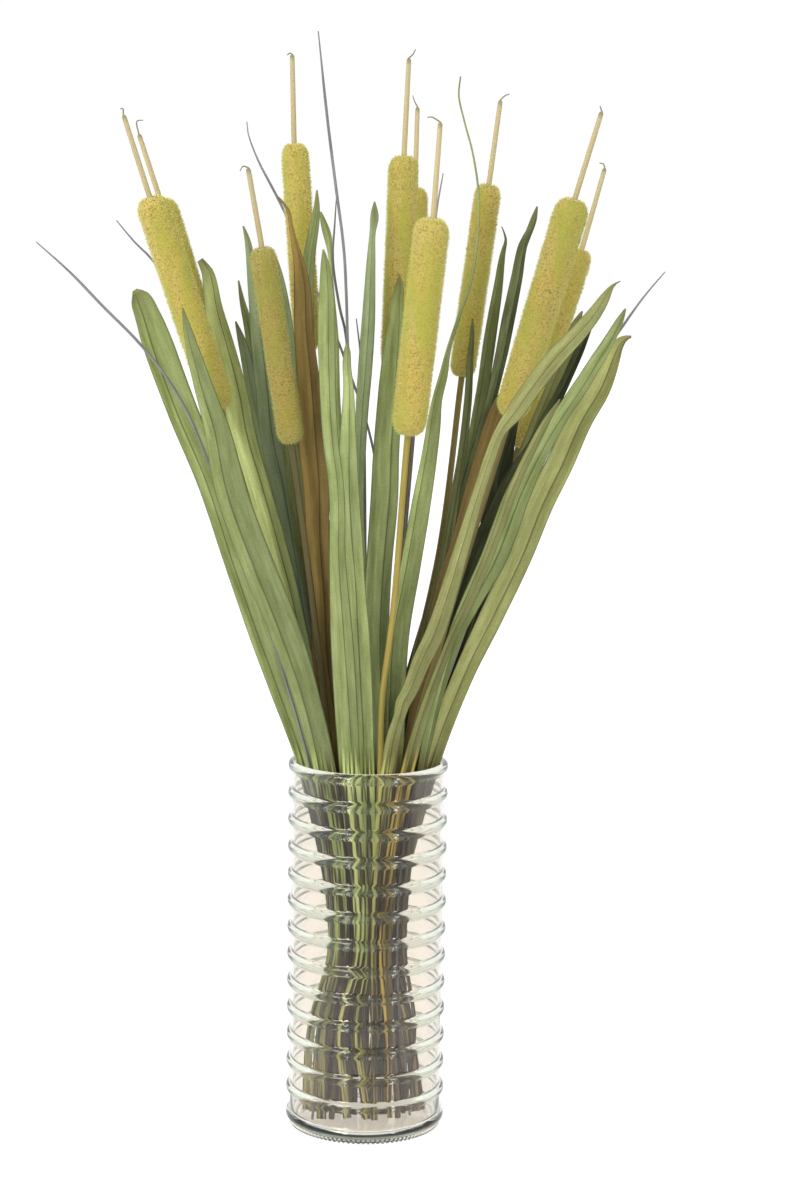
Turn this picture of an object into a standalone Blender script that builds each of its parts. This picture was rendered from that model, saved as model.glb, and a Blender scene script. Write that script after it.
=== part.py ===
# Cattail stems, leaves and thin strands standing in a hooped glass vase, in millimetres times MM.
# X runs to the right, Y away from the viewer and Z up; the vase stands on Z = 0 at the origin.
import math

import bmesh
import bpy
from mathutils import Matrix, Vector

MM = 0.001

# The vase: a straight cylinder with evenly spaced round hoops, the top hoop being the lip.
VASE_OUTER = 55.0
VASE_VALLEY = 52.4
VASE_BORE = 50.6
VASE_FLOOR = 10.0
HOOPS = 14
HOOP_PITCH = 19.0
HOOP_HALF = 4.7
TOP_HOOP_Z = 254.0
VASE_SIDES = 32

# The bundle: it rests on the vase floor, is drawn in at its waist and fans out above the mouth.
BUNDLE_FOOT_Z = 11.5
BUNDLE_WAIST_Z = 130.0
MOUTH_Z = 250.0
FOOT_SPREAD = 0.94
WAIST_SPREAD = 0.62
MOUTH_DEPTH = 30.0
FAN_DEPTH = 105.0
FAN_HEIGHT = 400.0

# The pieces.
STEM_RADIUS = 2.1
SPIKE_RADIUS = 1.8
TIP_RADIUS = 0.7
STRAND_RADIUS = 0.8
BORE_GAP = 0.35
HEAD_SIDES = 12
LEAF_THICKNESS = 0.6
LEAF_FOLD = 0.2

# Each cattail: head radius, place front to back (-1 front, 1 back), x at the mouth,
# then (x, z) down its length: hook tip, spike end, head top, head bottom and any bend of the stalk.
CATTAILS = {
    "Cattail_01": (11.4, -0.58, -33, [(-161, 694), (-159, 688), (-143, 638), (-99, 502)]),
    "Cattail_02": (11.0, -0.10, -32, [(-154, 688), (-157, 683), (-142, 636), (-98, 495)]),
    "Cattail_03": (9.4, -0.66, -24, [(-83, 658), (-80, 655), (-71, 607), (-52, 481)]),
    "Cattail_04": (9.9, 0.00, -12, [(-59, 732), (-55, 729), (-54, 674), (-44, 538)]),
    "Cattail_05": (10.8, 0.00, 1, [(25, 736), (21, 730), (19, 667), (15, 525)]),
    "Cattail_06": (9.8, 0.75, 12, [(24, 709), (28, 701), (27, 646), (27, 502)]),
    "Cattail_07": (12.2, -0.62, 8, [(35, 691), (42, 687), (38, 627), (24, 487), (16, 369), (9, 303)]),
    "Cattail_08": (9.6, 0.06, 16, [(88, 708), (83, 704), (76, 649), (60, 521), (47, 405)]),
    "Cattail_09": (12.0, -0.50, 25, [(143, 699), (146, 696), (129, 640), (91, 499), (51, 356)]),
    "Cattail_10": (9.6, 0.58, 32, [(155, 664), (159, 660), (143, 605), (101, 469), (93, 445)]),
}

# Each leaf: colour, width, how much of it narrows to the tip, turn in degrees, place front to back,
# x at the mouth, then (x, z) from its tip down.
LEAVES = {
    "Leaf_01": ("green", 18, 0.25, 18, -0.20, -41, [(-156, 576), (-136, 528), (-106, 451), (-73, 349)]),
    "Leaf_02": ("green", 24, 0.75, -12, -0.90, -29,
                [(-120, 569), (-110, 523), (-100, 490), (-87, 451), (-71, 403), (-41, 313)]),
    "Leaf_03": ("olive", 17, 0.45, 15, -0.40, -31, [(-114, 599), (-98, 542), (-76, 465), (-53, 384)]),
    "Leaf_04": ("blue", 15, 0.60, -15, -0.24, -26,
                [(-87, 620), (-82, 598), (-79, 571), (-71, 498), (-54, 404)]),
    "Leaf_05": ("green", 8, 0.60, 20, 0.62, -27, [(-95, 581), (-90, 561), (-80, 499)]),
    "Leaf_06": ("blue", 11, 0.60, -20, 0.20, -22, [(-94, 555), (-85, 523), (-75, 476)]),
    "Leaf_07": ("olive", 11, 0.60, 10, -0.30, -15, [(-64, 552), (-57, 479), (-44, 405)]),
    "Leaf_08": ("blue", 6, 0.50, 0, -0.20, -17, [(-67, 605), (-61, 585), (-53, 528), (-50, 472)]),
    "Leaf_09": ("brown", 20, 0.80, 8, -0.44, -18,
                [(-63, 640), (-55, 633), (-53, 619), (-45, 559), (-40, 474), (-32, 364)]),
    "Leaf_10": ("green", 8, 0.40, 15, -0.16, -9, [(-38, 643), (-39, 628), (-44, 591), (-43, 552)]),
    "Leaf_11": ("green", 5, 0.30, 0, -0.30, -6, [(-34, 630), (-31, 612), (-24, 546), (-23, 506)]),
    "Leaf_12": ("green", 14, 0.50, 10, -0.84, -12, [(-32, 606), (-28, 555), (-23, 463), (-17, 319)]),
    "Leaf_13": ("green", 14, 0.70, -8, -0.74, -3, [(-16, 546), (-15, 496), (-11, 398), (-8, 319)]),
    "Leaf_14": ("blue", 10, 0.50, -10, -0.20, 4, [(0, 637), (-1, 599), (-6, 504), (-7, 428)]),
    "Leaf_15": ("green", 17, 0.60, 10, -0.36, 6, [(17, 589), (18, 573), (10, 474), (5, 371)]),
    "Leaf_16": ("green", 16, 0.90, -12, -0.26, 17,
                [(55, 718), (54, 706), (66, 664), (68, 617), (64, 587), (49, 533), (37, 460), (27, 357)]),
    "Leaf_17": ("olive", 7, 0.60, 15, -0.16, 21, [(66, 561), (64, 506), (56, 439), (50, 398)]),
    "Leaf_18": ("green", 9, 0.80, -20, 0.30, 18, [(88, 614), (78, 541), (65, 467), (57, 426)]),
    "Leaf_19": ("dark", 10, 0.30, 15, 0.12, 26,
                [(109, 634), (99, 606), (88, 542), (81, 508), (64, 437), (54, 399)]),
    "Leaf_20": ("brown", 12, 0.40, 0, -0.34, 28, [(88, 511), (75, 474), (53, 399)]),
    "Leaf_21": ("pale", 15, 0.70, -14, -0.96, 13,
                [(151, 588), (130, 559), (104, 524), (80, 477), (53, 376), (26, 307), (19, 282)]),
    "Leaf_22": ("pale", 11, 0.50, 20, -0.02, 34, [(140, 566), (127, 530), (110, 486), (86, 418)]),
    "Leaf_23": ("dark", 7, 0.60, 0, -0.14, 36, [(150, 567), (130, 522), (107, 473), (80, 418)]),
    "Leaf_24": ("green", 13, 0.70, 12, -0.42, 36,
                [(165, 570), (148, 536), (123, 497), (93, 445), (53, 345)]),
    "Leaf_25": ("pale", 18, 0.50, -15, -0.24, 40,
                [(165, 550), (150, 521), (126, 466), (99, 399), (63, 316)]),
    "Leaf_26": ("pale", 8, 0.60, 0, -0.72, 26, [(123, 511), (93, 454), (67, 383), (49, 337)]),
    "Leaf_27": ("dark", 9, 0.40, -15, 0.28, 38, [(100, 505), (84, 440), (63, 368)]),
}

# Each thin strand: place front to back, x at the mouth, then (x, z) from its tip down.
STRANDS = {
    "Strand_01": (-0.72, -38, [(-214, 609), (-174, 570), (-125, 511), (-103, 459)]),
    "Strand_02": (0.12, -29, [(-174, 622), (-149, 595), (-124, 556)]),
    "Strand_03": (-0.54, -1, [(-36, 743), (-25, 644), (-17, 573), (-16, 544)]),
    "Strand_04": (0.52, 8, [(-89, 689), (-82, 664), (-60, 622), (-20, 528), (3, 453)]),
    "Strand_05": (0.40, -8, [(-27, 639), (-28, 597), (-19, 543)]),
    "Strand_06": (-0.32, 34, [(191, 594), (165, 559), (115, 481)]),
    "Strand_07": (-0.10, 12, [(45, 656), (34, 559), (25, 438)]),
    "Strand_08": (0.20, -2, [(-12, 558), (-6, 490)]),
}

COLOURS = {
    "glass": (0.80, 0.86, 0.82),
    "head": (0.45, 0.42, 0.08),
    "stalk": (0.43, 0.31, 0.12),
    "strand": (0.16, 0.15, 0.17),
    "green": (0.25, 0.33, 0.11),
    "olive": (0.15, 0.20, 0.07),
    "blue": (0.17, 0.25, 0.14),
    "pale": (0.36, 0.41, 0.16),
    "brown": (0.20, 0.12, 0.05),
    "dark": (0.04, 0.05, 0.03),
}


# Start from an empty scene with one collection for the object.
def empty_scene():
    for old in list(bpy.data.objects):
        bpy.data.objects.remove(old, do_unlink=True)
    collection = bpy.data.collections.new("Cattail_Stems")
    bpy.context.scene.collection.children.link(collection)
    return collection


def material(name):
    made = bpy.data.materials.get(name) or bpy.data.materials.new(name)
    made.use_nodes = True
    shader = made.node_tree.nodes["Principled BSDF"]
    shader.inputs["Base Color"].default_value = (*COLOURS[name], 1.0)
    shader.inputs["Roughness"].default_value = 0.05 if name == "glass" else 0.8
    if name == "glass":
        shader.inputs["Transmission Weight"].default_value = 1.0
        shader.inputs["IOR"].default_value = 1.5
    return made


def add_object(collection, name, data, colour):
    made = bpy.data.objects.new(name, data)
    data.materials.append(material(colour))
    collection.objects.link(made)
    return made


# How much the bundle is spread at a height inside the vase, against its spread at the mouth.
def spread(z):
    if z < BUNDLE_WAIST_Z:
        low = (BUNDLE_WAIST_Z - z) / (BUNDLE_WAIST_Z - BUNDLE_FOOT_Z)
        return WAIST_SPREAD + (FOOT_SPREAD - WAIST_SPREAD) * low
    high = min(1.0, (z - BUNDLE_WAIST_Z) / (MOUTH_Z - BUNDLE_WAIST_Z))
    return WAIST_SPREAD + (1.0 - WAIST_SPREAD) * high


# A point of a piece: every piece keeps its own place front to back, so that none cross.
def place(x, z, layer):
    fan = max(0.0, z - MOUTH_Z) / FAN_HEIGHT
    return Vector((x, layer * (MOUTH_DEPTH * spread(z) + FAN_DEPTH * fan), z))


def foot_points(mouth_x, layer):
    heights = (BUNDLE_FOOT_Z, BUNDLE_WAIST_Z, MOUTH_Z)
    return [place(mouth_x * spread(z), z, layer) for z in heights]


# A round bar that follows points, with its own radius at each one.
def bar(collection, name, points, radii, colour, resolution):
    curve = bpy.data.curves.new(name, "CURVE")
    curve.dimensions = "3D"
    curve.bevel_depth = MM
    curve.bevel_resolution = resolution
    curve.use_fill_caps = True
    spline = curve.splines.new("POLY")
    spline.points.add(len(points) - 1)
    for knot, point, radius in zip(spline.points, points, radii):
        knot.co = (*(point * MM), 1.0)
        knot.radius = radius
    return add_object(collection, name, curve, colour)


# The stalk runs from the vase floor through its head to the hooked tip of the spike.
def stalk(collection, name, layer, mouth_x, line):
    hook, spike, top, bottom = (place(x, z, layer) for x, z in line[:4])
    bends = [place(x, z, layer) for x, z in reversed(line[4:])]
    axis = (top - bottom).normalized()
    points = foot_points(mouth_x, layer) + bends
    points += [bottom - axis * 4.0, top + axis * 4.0, spike, hook]
    radii = [STEM_RADIUS] * (len(points) - 3) + [SPIKE_RADIUS, SPIKE_RADIUS * 0.7, TIP_RADIUS]
    bar(collection, name + "_Stem", points, radii, "stalk", 1)


# The head is a round-ended sleeve with a bore for the stalk, turned about the stalk's line.
def head(collection, name, radius, layer, line):
    top, bottom = place(*line[2], layer), place(*line[3], layer)
    length = (top - bottom).length
    bore = STEM_RADIUS + BORE_GAP
    outline = [(bore, 0.0), (radius * 0.62, 0.8), (radius * 0.93, radius * 0.5)]
    outline += [(radius, radius * 1.1), (radius, length - radius * 1.1)]
    outline += [(radius * 0.93, length - radius * 0.5), (radius * 0.62, length - 0.8), (bore, length)]
    mesh = bmesh.new()
    knots = [mesh.verts.new((r, 0.0, z)) for r, z in outline]
    edges = [mesh.edges.new((a, b)) for a, b in zip(knots, knots[1:] + knots[:1])]
    bmesh.ops.spin(mesh, geom=knots + edges, cent=(0, 0, 0), axis=(0, 0, 1), angle=math.tau,
                   steps=HEAD_SIDES, use_merge=True)
    bmesh.ops.remove_doubles(mesh, verts=mesh.verts, dist=0.001)
    turn = (top - bottom).to_track_quat("Z", "Y").to_matrix().to_4x4()
    bmesh.ops.transform(mesh, matrix=Matrix.Scale(MM, 4) @ Matrix.Translation(bottom) @ turn, verts=mesh.verts)
    bmesh.ops.recalc_face_normals(mesh, faces=mesh.faces)
    data = bpy.data.meshes.new(name + "_Head")
    mesh.to_mesh(data)
    mesh.free()
    add_object(collection, name + "_Head", data, "head")


# Half the width of a leaf at a height: drawn in inside the vase, narrowing to the tip above it.
def half_width(width, tip_share, z, tip_z):
    if z <= MOUTH_Z:
        return 0.5 * width * 0.66 * spread(z)
    left = (tip_z - z) / (tip_z - MOUTH_Z)
    narrow = min(1.0, left / tip_share) ** 0.75
    grown = 0.66 + 0.34 * min(1.0, (z - MOUTH_Z) / 120.0)
    return max(0.5, 0.5 * width * narrow * grown)


# A leaf is a strip with a central fold that follows its points, given its thickness by Solidify.
def leaf(collection, name, colour, width, tip_share, turn, layer, mouth_x, line):
    points = foot_points(mouth_x, layer) + [place(x, z, layer) for x, z in reversed(line)]
    tip_z = line[0][1]
    last = len(points) - 1
    mesh = bmesh.new()
    bmesh.ops.create_grid(mesh, x_segments=2, y_segments=last, size=1.0)
    for vert in mesh.verts:
        row = round((vert.co.y + 1.0) * 0.5 * last)
        across = vert.co.x
        here = points[row]
        run = (points[min(row + 1, last)] - points[max(row - 1, 0)]).normalized()
        angle = math.radians(turn) * min(1.0, max(0.0, here.z - MOUTH_Z) / 150.0)
        side = Vector((math.cos(angle), math.sin(angle), 0.0))
        side = (side - run * side.dot(run)).normalized()
        half = half_width(width, tip_share, here.z, tip_z)
        fold = run.cross(side) * (LEAF_FOLD * half * (1.0 - abs(across)))
        vert.co = (here + side * (across * half) + fold) * MM
    data = bpy.data.meshes.new(name)
    mesh.to_mesh(data)
    mesh.free()
    made = add_object(collection, name, data, colour)
    thick = made.modifiers.new("Thickness", "SOLIDIFY")
    thick.thickness = LEAF_THICKNESS * MM
    thick.offset = 0.0


def strand(collection, name, layer, mouth_x, line):
    points = foot_points(mouth_x, layer) + [place(x, z, layer) for x, z in reversed(line)]
    radii = [STRAND_RADIUS] * (len(points) - 1) + [STRAND_RADIUS * 0.6]
    bar(collection, name, points, radii, "strand", 0)


# The vase is one profile, down its outer side and back up its bore, turned about Z.
def vase(collection):
    outline = [(VASE_BORE, TOP_HOOP_Z + 2.0), (VASE_BORE + 1.8, TOP_HOOP_Z + 4.0)]
    for hoop in range(HOOPS):
        z = TOP_HOOP_Z - hoop * HOOP_PITCH
        if hoop > 0:
            outline.append((VASE_VALLEY, z + HOOP_HALF))
        outline += [(VASE_OUTER, z + 1.6), (VASE_OUTER, z - 1.6)]
        outline.append((VASE_VALLEY, z - HOOP_HALF))
    outline += [(VASE_VALLEY - 3.0, 0.0), (0.0, 0.0), (0.0, VASE_FLOOR)]
    outline += [(VASE_BORE - 6.0, VASE_FLOOR), (VASE_BORE, VASE_FLOOR + 6.0)]
    data = bpy.data.meshes.new("Vase")
    knots = [(r * MM, 0.0, z * MM) for r, z in outline]
    edges = [(i, (i + 1) % len(knots)) for i in range(len(knots))]
    edges.remove((len(outline) - 4, len(outline) - 3))
    data.from_pydata(knots, edges, [])
    made = add_object(collection, "Vase", data, "glass")
    screw = made.modifiers.new("Turn", "SCREW")
    screw.steps = VASE_SIDES
    screw.render_steps = VASE_SIDES
    screw.use_merge_vertices = True
    screw.merge_threshold = 0.00005
    return made


def main():
    collection = empty_scene()
    vase(collection)
    for name, (radius, layer, mouth_x, line) in CATTAILS.items():
        stalk(collection, name, layer, mouth_x, line)
        head(collection, name, radius, layer, line)
    for name, row in LEAVES.items():
        leaf(collection, name, *row)
    for name, row in STRANDS.items():
        strand(collection, name, *row)


main()
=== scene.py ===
# %% [markdown]
# # Cattail stems in a hooped glass vase
# The part is ten cattail stems, a sheaf of long folded leaves and a few thin strands, all standing in a clear
# glass vase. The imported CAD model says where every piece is. The cells below build each piece again as a maker
# would see it close up, let it stand for its CAD node, and give it the finish of the real material.

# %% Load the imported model
import math
import random

import bmesh
import bpy
import numpy as np
from mathutils import Matrix, Vector


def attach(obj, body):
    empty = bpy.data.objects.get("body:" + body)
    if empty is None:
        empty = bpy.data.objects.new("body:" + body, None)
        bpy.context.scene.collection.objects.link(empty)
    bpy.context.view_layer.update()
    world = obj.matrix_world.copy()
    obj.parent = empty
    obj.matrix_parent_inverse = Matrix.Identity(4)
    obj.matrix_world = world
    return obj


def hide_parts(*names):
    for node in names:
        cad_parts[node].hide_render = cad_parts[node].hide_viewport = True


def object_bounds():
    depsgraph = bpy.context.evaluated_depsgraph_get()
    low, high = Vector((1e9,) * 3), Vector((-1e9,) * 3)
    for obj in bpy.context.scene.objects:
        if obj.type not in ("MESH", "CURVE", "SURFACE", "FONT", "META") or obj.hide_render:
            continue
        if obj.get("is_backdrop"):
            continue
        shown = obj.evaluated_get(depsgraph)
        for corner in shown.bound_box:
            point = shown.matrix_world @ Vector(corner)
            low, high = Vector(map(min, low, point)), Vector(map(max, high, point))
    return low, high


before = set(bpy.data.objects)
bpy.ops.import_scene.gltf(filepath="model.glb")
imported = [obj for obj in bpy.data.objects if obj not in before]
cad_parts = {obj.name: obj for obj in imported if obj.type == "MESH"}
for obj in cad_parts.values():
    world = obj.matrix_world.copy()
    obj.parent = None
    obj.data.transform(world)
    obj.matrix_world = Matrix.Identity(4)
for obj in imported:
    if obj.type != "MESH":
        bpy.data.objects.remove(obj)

MM = 0.001
scene = bpy.context.scene
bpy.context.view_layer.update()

# %% [markdown]
# ## Small helpers
# A shader or a Geometry Nodes tree is a list of nodes and the links between them. One function adds a node with
# its settings and links, and every tree below reads from top to bottom. Colours are written as the sRGB hex
# codes that a colour picker shows, and one function turns them to the linear values that shaders work in.

# %% Helpers for colours, nodes and grown pieces
def linear(code):
    parts = [int(code[i:i + 2], 16) / 255 for i in (0, 2, 4)]
    return tuple(c / 12.92 if c <= 0.04045 else ((c + 0.055) / 1.055) ** 2.4 for c in parts) + (1.0,)


# Sets a node's inputs: a link where the value comes from another node, and a plain value elsewhere.
def plug(node, inputs):
    for key, value in dict(inputs).items():
        if isinstance(value, bpy.types.NodeSocket):
            node.id_data.links.new(value, node.inputs[key])
        else:
            node.inputs[key].default_value = value


def add(tree, kind, inputs=(), **settings):
    made = tree.nodes.new(kind)
    for name, value in settings.items():
        setattr(made, name, value)
    plug(made, inputs)
    return made


# The nodes that are needed most often, each as one short call that gives back what it makes.
def maths(tree, operation, *values, clamp=False):
    return add(tree, "ShaderNodeMath", enumerate(values), operation=operation, use_clamp=clamp).outputs[0]


def ranged(tree, value, low, high, least=0.0, most=1.0):
    return add(tree, "ShaderNodeMapRange", {"Value": value, "From Min": low, "From Max": high,
                                            "To Min": least, "To Max": most}).outputs[0]


def blend(tree, share, under, over):
    under, over = (linear(colour) if isinstance(colour, str) else colour for colour in (under, over))
    return add(tree, "ShaderNodeMix", {0: share, 6: under, 7: over}, data_type="RGBA").outputs[2]


def vectors(tree, operation, *values):
    return add(tree, "ShaderNodeVectorMath", enumerate(values), operation=operation).outputs[0]


def scaled(tree, vector, factor):
    return add(tree, "ShaderNodeVectorMath", {0: vector, "Scale": factor}, operation="SCALE").outputs[0]


def xyz(tree, vector):
    return add(tree, "ShaderNodeSeparateXYZ", {0: vector}).outputs


def to_vector(tree, x=0.0, y=0.0, z=0.0):
    return add(tree, "ShaderNodeCombineXYZ", {"X": x, "Y": y, "Z": z}).outputs[0]


def noise(tree, vector, scale, detail, roughness=0.5):
    return add(tree, "ShaderNodeTexNoise", {"Vector": vector, "Scale": scale, "Detail": detail,
                                            "Roughness": roughness}).outputs["Fac"]


# Depth in mm. Another bump below this one goes in as Normal.
def bumped(tree, height, strength, depth, **below):
    return add(tree, "ShaderNodeBump", {"Height": height, "Strength": strength, "Distance": depth * MM,
                                        **below}).outputs["Normal"]


def ramp(tree, value, first, last, *between):
    made = add(tree, "ShaderNodeValToRGB", {0: value})
    for element, (at, code) in zip(made.color_ramp.elements, (first, last)):
        element.position, element.color = at, linear(code)
    for at, code in between:
        made.color_ramp.elements.new(at).color = linear(code)
    return made.outputs[0]


# Numbers kept at the points of a mesh: `keep` writes them, `named` reads them in a tree and `stored` in a shader.
def keep(tree, geometry, name, value, kind="FLOAT"):
    return add(tree, "GeometryNodeStoreNamedAttribute", {"Geometry": geometry, "Name": name, "Value": value},
               data_type=kind).outputs[0]


def named(tree, name, kind="FLOAT"):
    return add(tree, "GeometryNodeInputNamedAttribute", {"Name": name}, data_type=kind).outputs[0]


def stored(tree, name, output="Fac"):
    return add(tree, "ShaderNodeAttribute", attribute_name=name).outputs[output]


def position(tree):
    return add(tree, "GeometryNodeInputPosition").outputs[0]


def geometry_tree(name, sizes):
    tree = bpy.data.node_groups.new(name, "GeometryNodeTree")
    tree.interface.new_socket("Geometry", in_out="INPUT", socket_type="NodeSocketGeometry")
    for label, kind in sizes.items():
        tree.interface.new_socket(label, in_out="INPUT", socket_type="NodeSocket" + kind)
    tree.interface.new_socket("Geometry", in_out="OUTPUT", socket_type="NodeSocketGeometry")
    return tree, add(tree, "NodeGroupInput").outputs, add(tree, "NodeGroupOutput").inputs["Geometry"]


# The last nodes of a tree: smooth shading, if asked for, the material and the way out.
def end_tree(tree, geometry, material, result, smooth=True):
    if smooth:
        geometry = add(tree, "GeometryNodeSetShadeSmooth", {"Geometry": geometry}).outputs[0]
    shown = add(tree, "GeometryNodeSetMaterial", {"Geometry": geometry, "Material": material})
    tree.links.new(shown.outputs[0], result)


# Runs a tree on a start mesh and keeps what comes out as the piece's own plain mesh.
def grow(name, start, tree, values, wall=0.0):
    piece = bpy.data.objects.new(name, start)
    scene.collection.objects.link(piece)
    nodes = piece.modifiers.new("Grow", "NODES")
    nodes.node_group = tree
    for item in tree.interface.items_tree:
        if item.in_out == "INPUT" and item.name in values:
            nodes[item.identifier] = values[item.name]
    if wall:
        solid = piece.modifiers.new("Wall", "SOLIDIFY")
        solid.thickness, solid.offset = wall * MM, 0.0
    shown = piece.evaluated_get(bpy.context.evaluated_depsgraph_get())
    plain = bpy.data.meshes.new_from_object(shown)
    piece.modifiers.clear()
    piece.data = plain
    plain.name = name
    return piece


# The piece rides on the one body and stands for its CAD node, which is hidden.
def dress(piece, node):
    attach(piece, "root")
    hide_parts(node)


# A line of points as a mesh of edges, with further numbers kept at each point.
def line_mesh(name, points, **kept):
    mesh = bpy.data.meshes.new(name)
    mesh.from_pydata([Vector(p) * MM for p in points], [(i, i + 1) for i in range(len(points) - 1)], [])
    for label, values in kept.items():
        vector = hasattr(values[0], "__len__")
        slot = mesh.attributes.new(label, "FLOAT_VECTOR" if vector else "FLOAT", "POINT")
        flat = np.array([tuple(v) for v in values] if vector else values, np.float32).ravel()
        slot.data.foreach_set("vector" if vector else "value", flat)
    return mesh


# %% [markdown]
# ## The lines that the pieces follow
# Every stem, leaf and strand starts on the vase floor, is drawn in at the waist of the bundle, leaves through the
# mouth and fans out. The same few values as in the CAD source give those places. Between measured points a
# centripetal Catmull-Rom curve is used, because it goes through each point and makes no loops at uneven spacing.

# %% The bundle's lines
BUNDLE_FOOT_Z, BUNDLE_WAIST_Z, MOUTH_Z = 6.1, 130.0, 250.0
FOOT_SPREAD, WAIST_SPREAD = 0.94, 0.62
MOUTH_DEPTH, FAN_DEPTH, FAN_HEIGHT = 30.0, 105.0, 400.0


def spread(z):
    if z < BUNDLE_WAIST_Z:
        low = (BUNDLE_WAIST_Z - z) / (BUNDLE_WAIST_Z - BUNDLE_FOOT_Z)
        return WAIST_SPREAD + (FOOT_SPREAD - WAIST_SPREAD) * low
    return WAIST_SPREAD + (1.0 - WAIST_SPREAD) * min(1.0, (z - BUNDLE_WAIST_Z) / (MOUTH_Z - BUNDLE_WAIST_Z))


def place(x, z, layer):
    fan = max(0.0, z - MOUTH_Z) / FAN_HEIGHT
    return (x, layer * (MOUTH_DEPTH * spread(z) + FAN_DEPTH * fan), z)


# Rows of numbers, the first three being a place, at about `step` mm apart on one smooth curve through them.
def through(rows, step):
    rows = [np.array(row, float) for row in rows]
    rows = [2 * rows[0] - rows[1], *rows, 2 * rows[-1] - rows[-2]]
    found = []
    for a, b, c, d in zip(rows, rows[1:], rows[2:], rows[3:]):
        gaps = [max(np.linalg.norm((q - p)[:3]), 0.01) ** 0.5 for p, q in ((a, b), (b, c), (c, d))]
        ta, tb = 0.0, gaps[0]
        tc = tb + gaps[1]
        td = tc + gaps[2]
        count = max(1, round(gaps[1] ** 2 / step))
        for k in range(count):
            t = tb + (tc - tb) * k / count
            ab = a * (tb - t) / (tb - ta) + b * (t - ta) / (tb - ta)
            bc = b * (tc - t) / (tc - tb) + c * (t - tb) / (tc - tb)
            cd = c * (td - t) / (td - tc) + d * (t - tc) / (td - tc)
            abc = ab * (tc - t) / (tc - ta) + bc * (t - ta) / (tc - ta)
            bcd = bc * (td - t) / (td - tb) + cd * (t - tb) / (td - tb)
            found.append(abc * (tc - t) / (tc - tb) + bcd * (t - tb) / (tc - tb))
    return np.array(found + [rows[-2]])


# %% [markdown]
# ## The camera
# The camera stands 1.84 m in front of the vase at 0.645 m height and looks 8.5 degrees down, turned by under a
# degree, as the photograph's own view does. Its place was solved from the vase's rim, foot and hoops.

# %% The camera
PITCH, ROLL = math.radians(8.54), math.radians(0.76)
FOCAL_PX, LONG_SIDE_PX, SENSOR = 2733.0, 1200.0, 36.0
CAMERA_PLACE = (0.0199, -1.841, 0.645)

ahead = Vector((0.0, math.cos(PITCH), -math.sin(PITCH)))
upright = Vector((0.0, math.sin(PITCH), math.cos(PITCH)))
right = Vector((1.0, 0.0, 0.0)) * math.cos(ROLL) + upright * math.sin(ROLL)
up = Vector((-1.0, 0.0, 0.0)) * math.sin(ROLL) + upright * math.cos(ROLL)
camera = bpy.data.objects.new("Camera", bpy.data.cameras.new("Camera"))
scene.collection.objects.link(camera)
turn = Matrix((right, up, -ahead)).transposed().to_4x4()
camera.matrix_world = Matrix.Translation(CAMERA_PLACE) @ turn
camera.data.sensor_width = SENSOR
camera.data.lens = FOCAL_PX / LONG_SIDE_PX * SENSOR
scene.camera = camera
print("lens in mm:", round(camera.data.lens, 1))

# %% [markdown]
# ## Clear soda-lime glass
# Bottle and vase glass is soda-lime glass, pressed or blown into a mould. Its index is 1.52, its surface is fire
# polished, and a trace of iron makes it faintly green where light runs a long way through it, as at the hoops and
# the thick base. A transmitting surface with a little absorption inside gives both.

# %% The glass
def new_material(name):
    made = bpy.data.materials.new(name)
    made.use_nodes = True
    tree = made.node_tree
    return made, tree, tree.nodes["Principled BSDF"]


glass, tree, shader = new_material("Soda_Lime_Glass")
hoop = stored(tree, "hoop")
stain = blend(tree, hoop, "f1ece4", "e2eadc")
haze = maths(tree, "MULTIPLY", hoop, 0.16)
waves = noise(tree, add(tree, "ShaderNodeTexCoord").outputs["Object"], 1 / (14 * MM), 1.0)
plug(shader, {"IOR": 1.52, "Transmission Weight": 1.0, "Base Color": stain, "Roughness": haze,
              "Normal": bumped(tree, waves, 0.12, 0.5)})
inside = add(tree, "ShaderNodeVolumeAbsorption", {"Color": linear("98b894"), "Density": 9.0})
plug(tree.nodes["Material Output"], {"Volume": inside.outputs["Volume"]})

# %% [markdown]
# ## The vase
# The real vase is one wall of glass, turned about its axis, with hoops at one even spacing like the hoops of a
# barrel. It could be lathed by hand from a drawn outline. Here the outline is a line of points whose outer part is
# pushed out by a rule, one round hoop per pitch, so the number and size of the hoops are plain inputs.

# %% The vase's outline
VASE_VALLEY, VASE_BORE, VASE_FLOOR, FILLET = 52.4, 50.6, 5.5, 4.0
HOOPS, HOOP_PITCH, HOOP_HALF, HOOP_DEPTH, TOP_HOOP_Z = 14, 19.0, 3.3, 2.6, 254.0
HOOP_STEPS = 20

# Over the rounded lip from inside, down the outer wall, round the foot and up the bore again.
outline = [(VASE_BORE + 0.9 + 0.95 * math.cos(a), TOP_HOOP_Z + 2.7 + 1.25 * math.sin(a))
           for a in [math.radians(d) for d in range(180, 0, -20)]]
lowest = TOP_HOOP_Z - (HOOPS - 1) * HOOP_PITCH
steps = round((TOP_HOOP_Z + 2.0 - (lowest - 3.6)) / HOOP_PITCH * HOOP_STEPS)
outline += [(VASE_VALLEY, TOP_HOOP_Z + 2.0 - k * HOOP_PITCH / HOOP_STEPS) for k in range(steps)]
outline += [(51.9, 3.2), (50.8, 3.0), (49.9, 2.9), (49.75, 2.0), (49.7, 1.0), (49.3, 0.3), (48.6, 0.0), (46.5, 0.0),
            (44.5, 0.5), (42.0, 1.3), (38.0, 1.8)]
outline += [(r, 2.0) for r in (30.0, 20.0, 10.0, 4.0)] + [(0.0, 2.0), (0.0, VASE_FLOOR)]
outline += [(r, VASE_FLOOR) for r in (6.0, 16.0, 28.0, 38.0, 43.0)]
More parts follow.
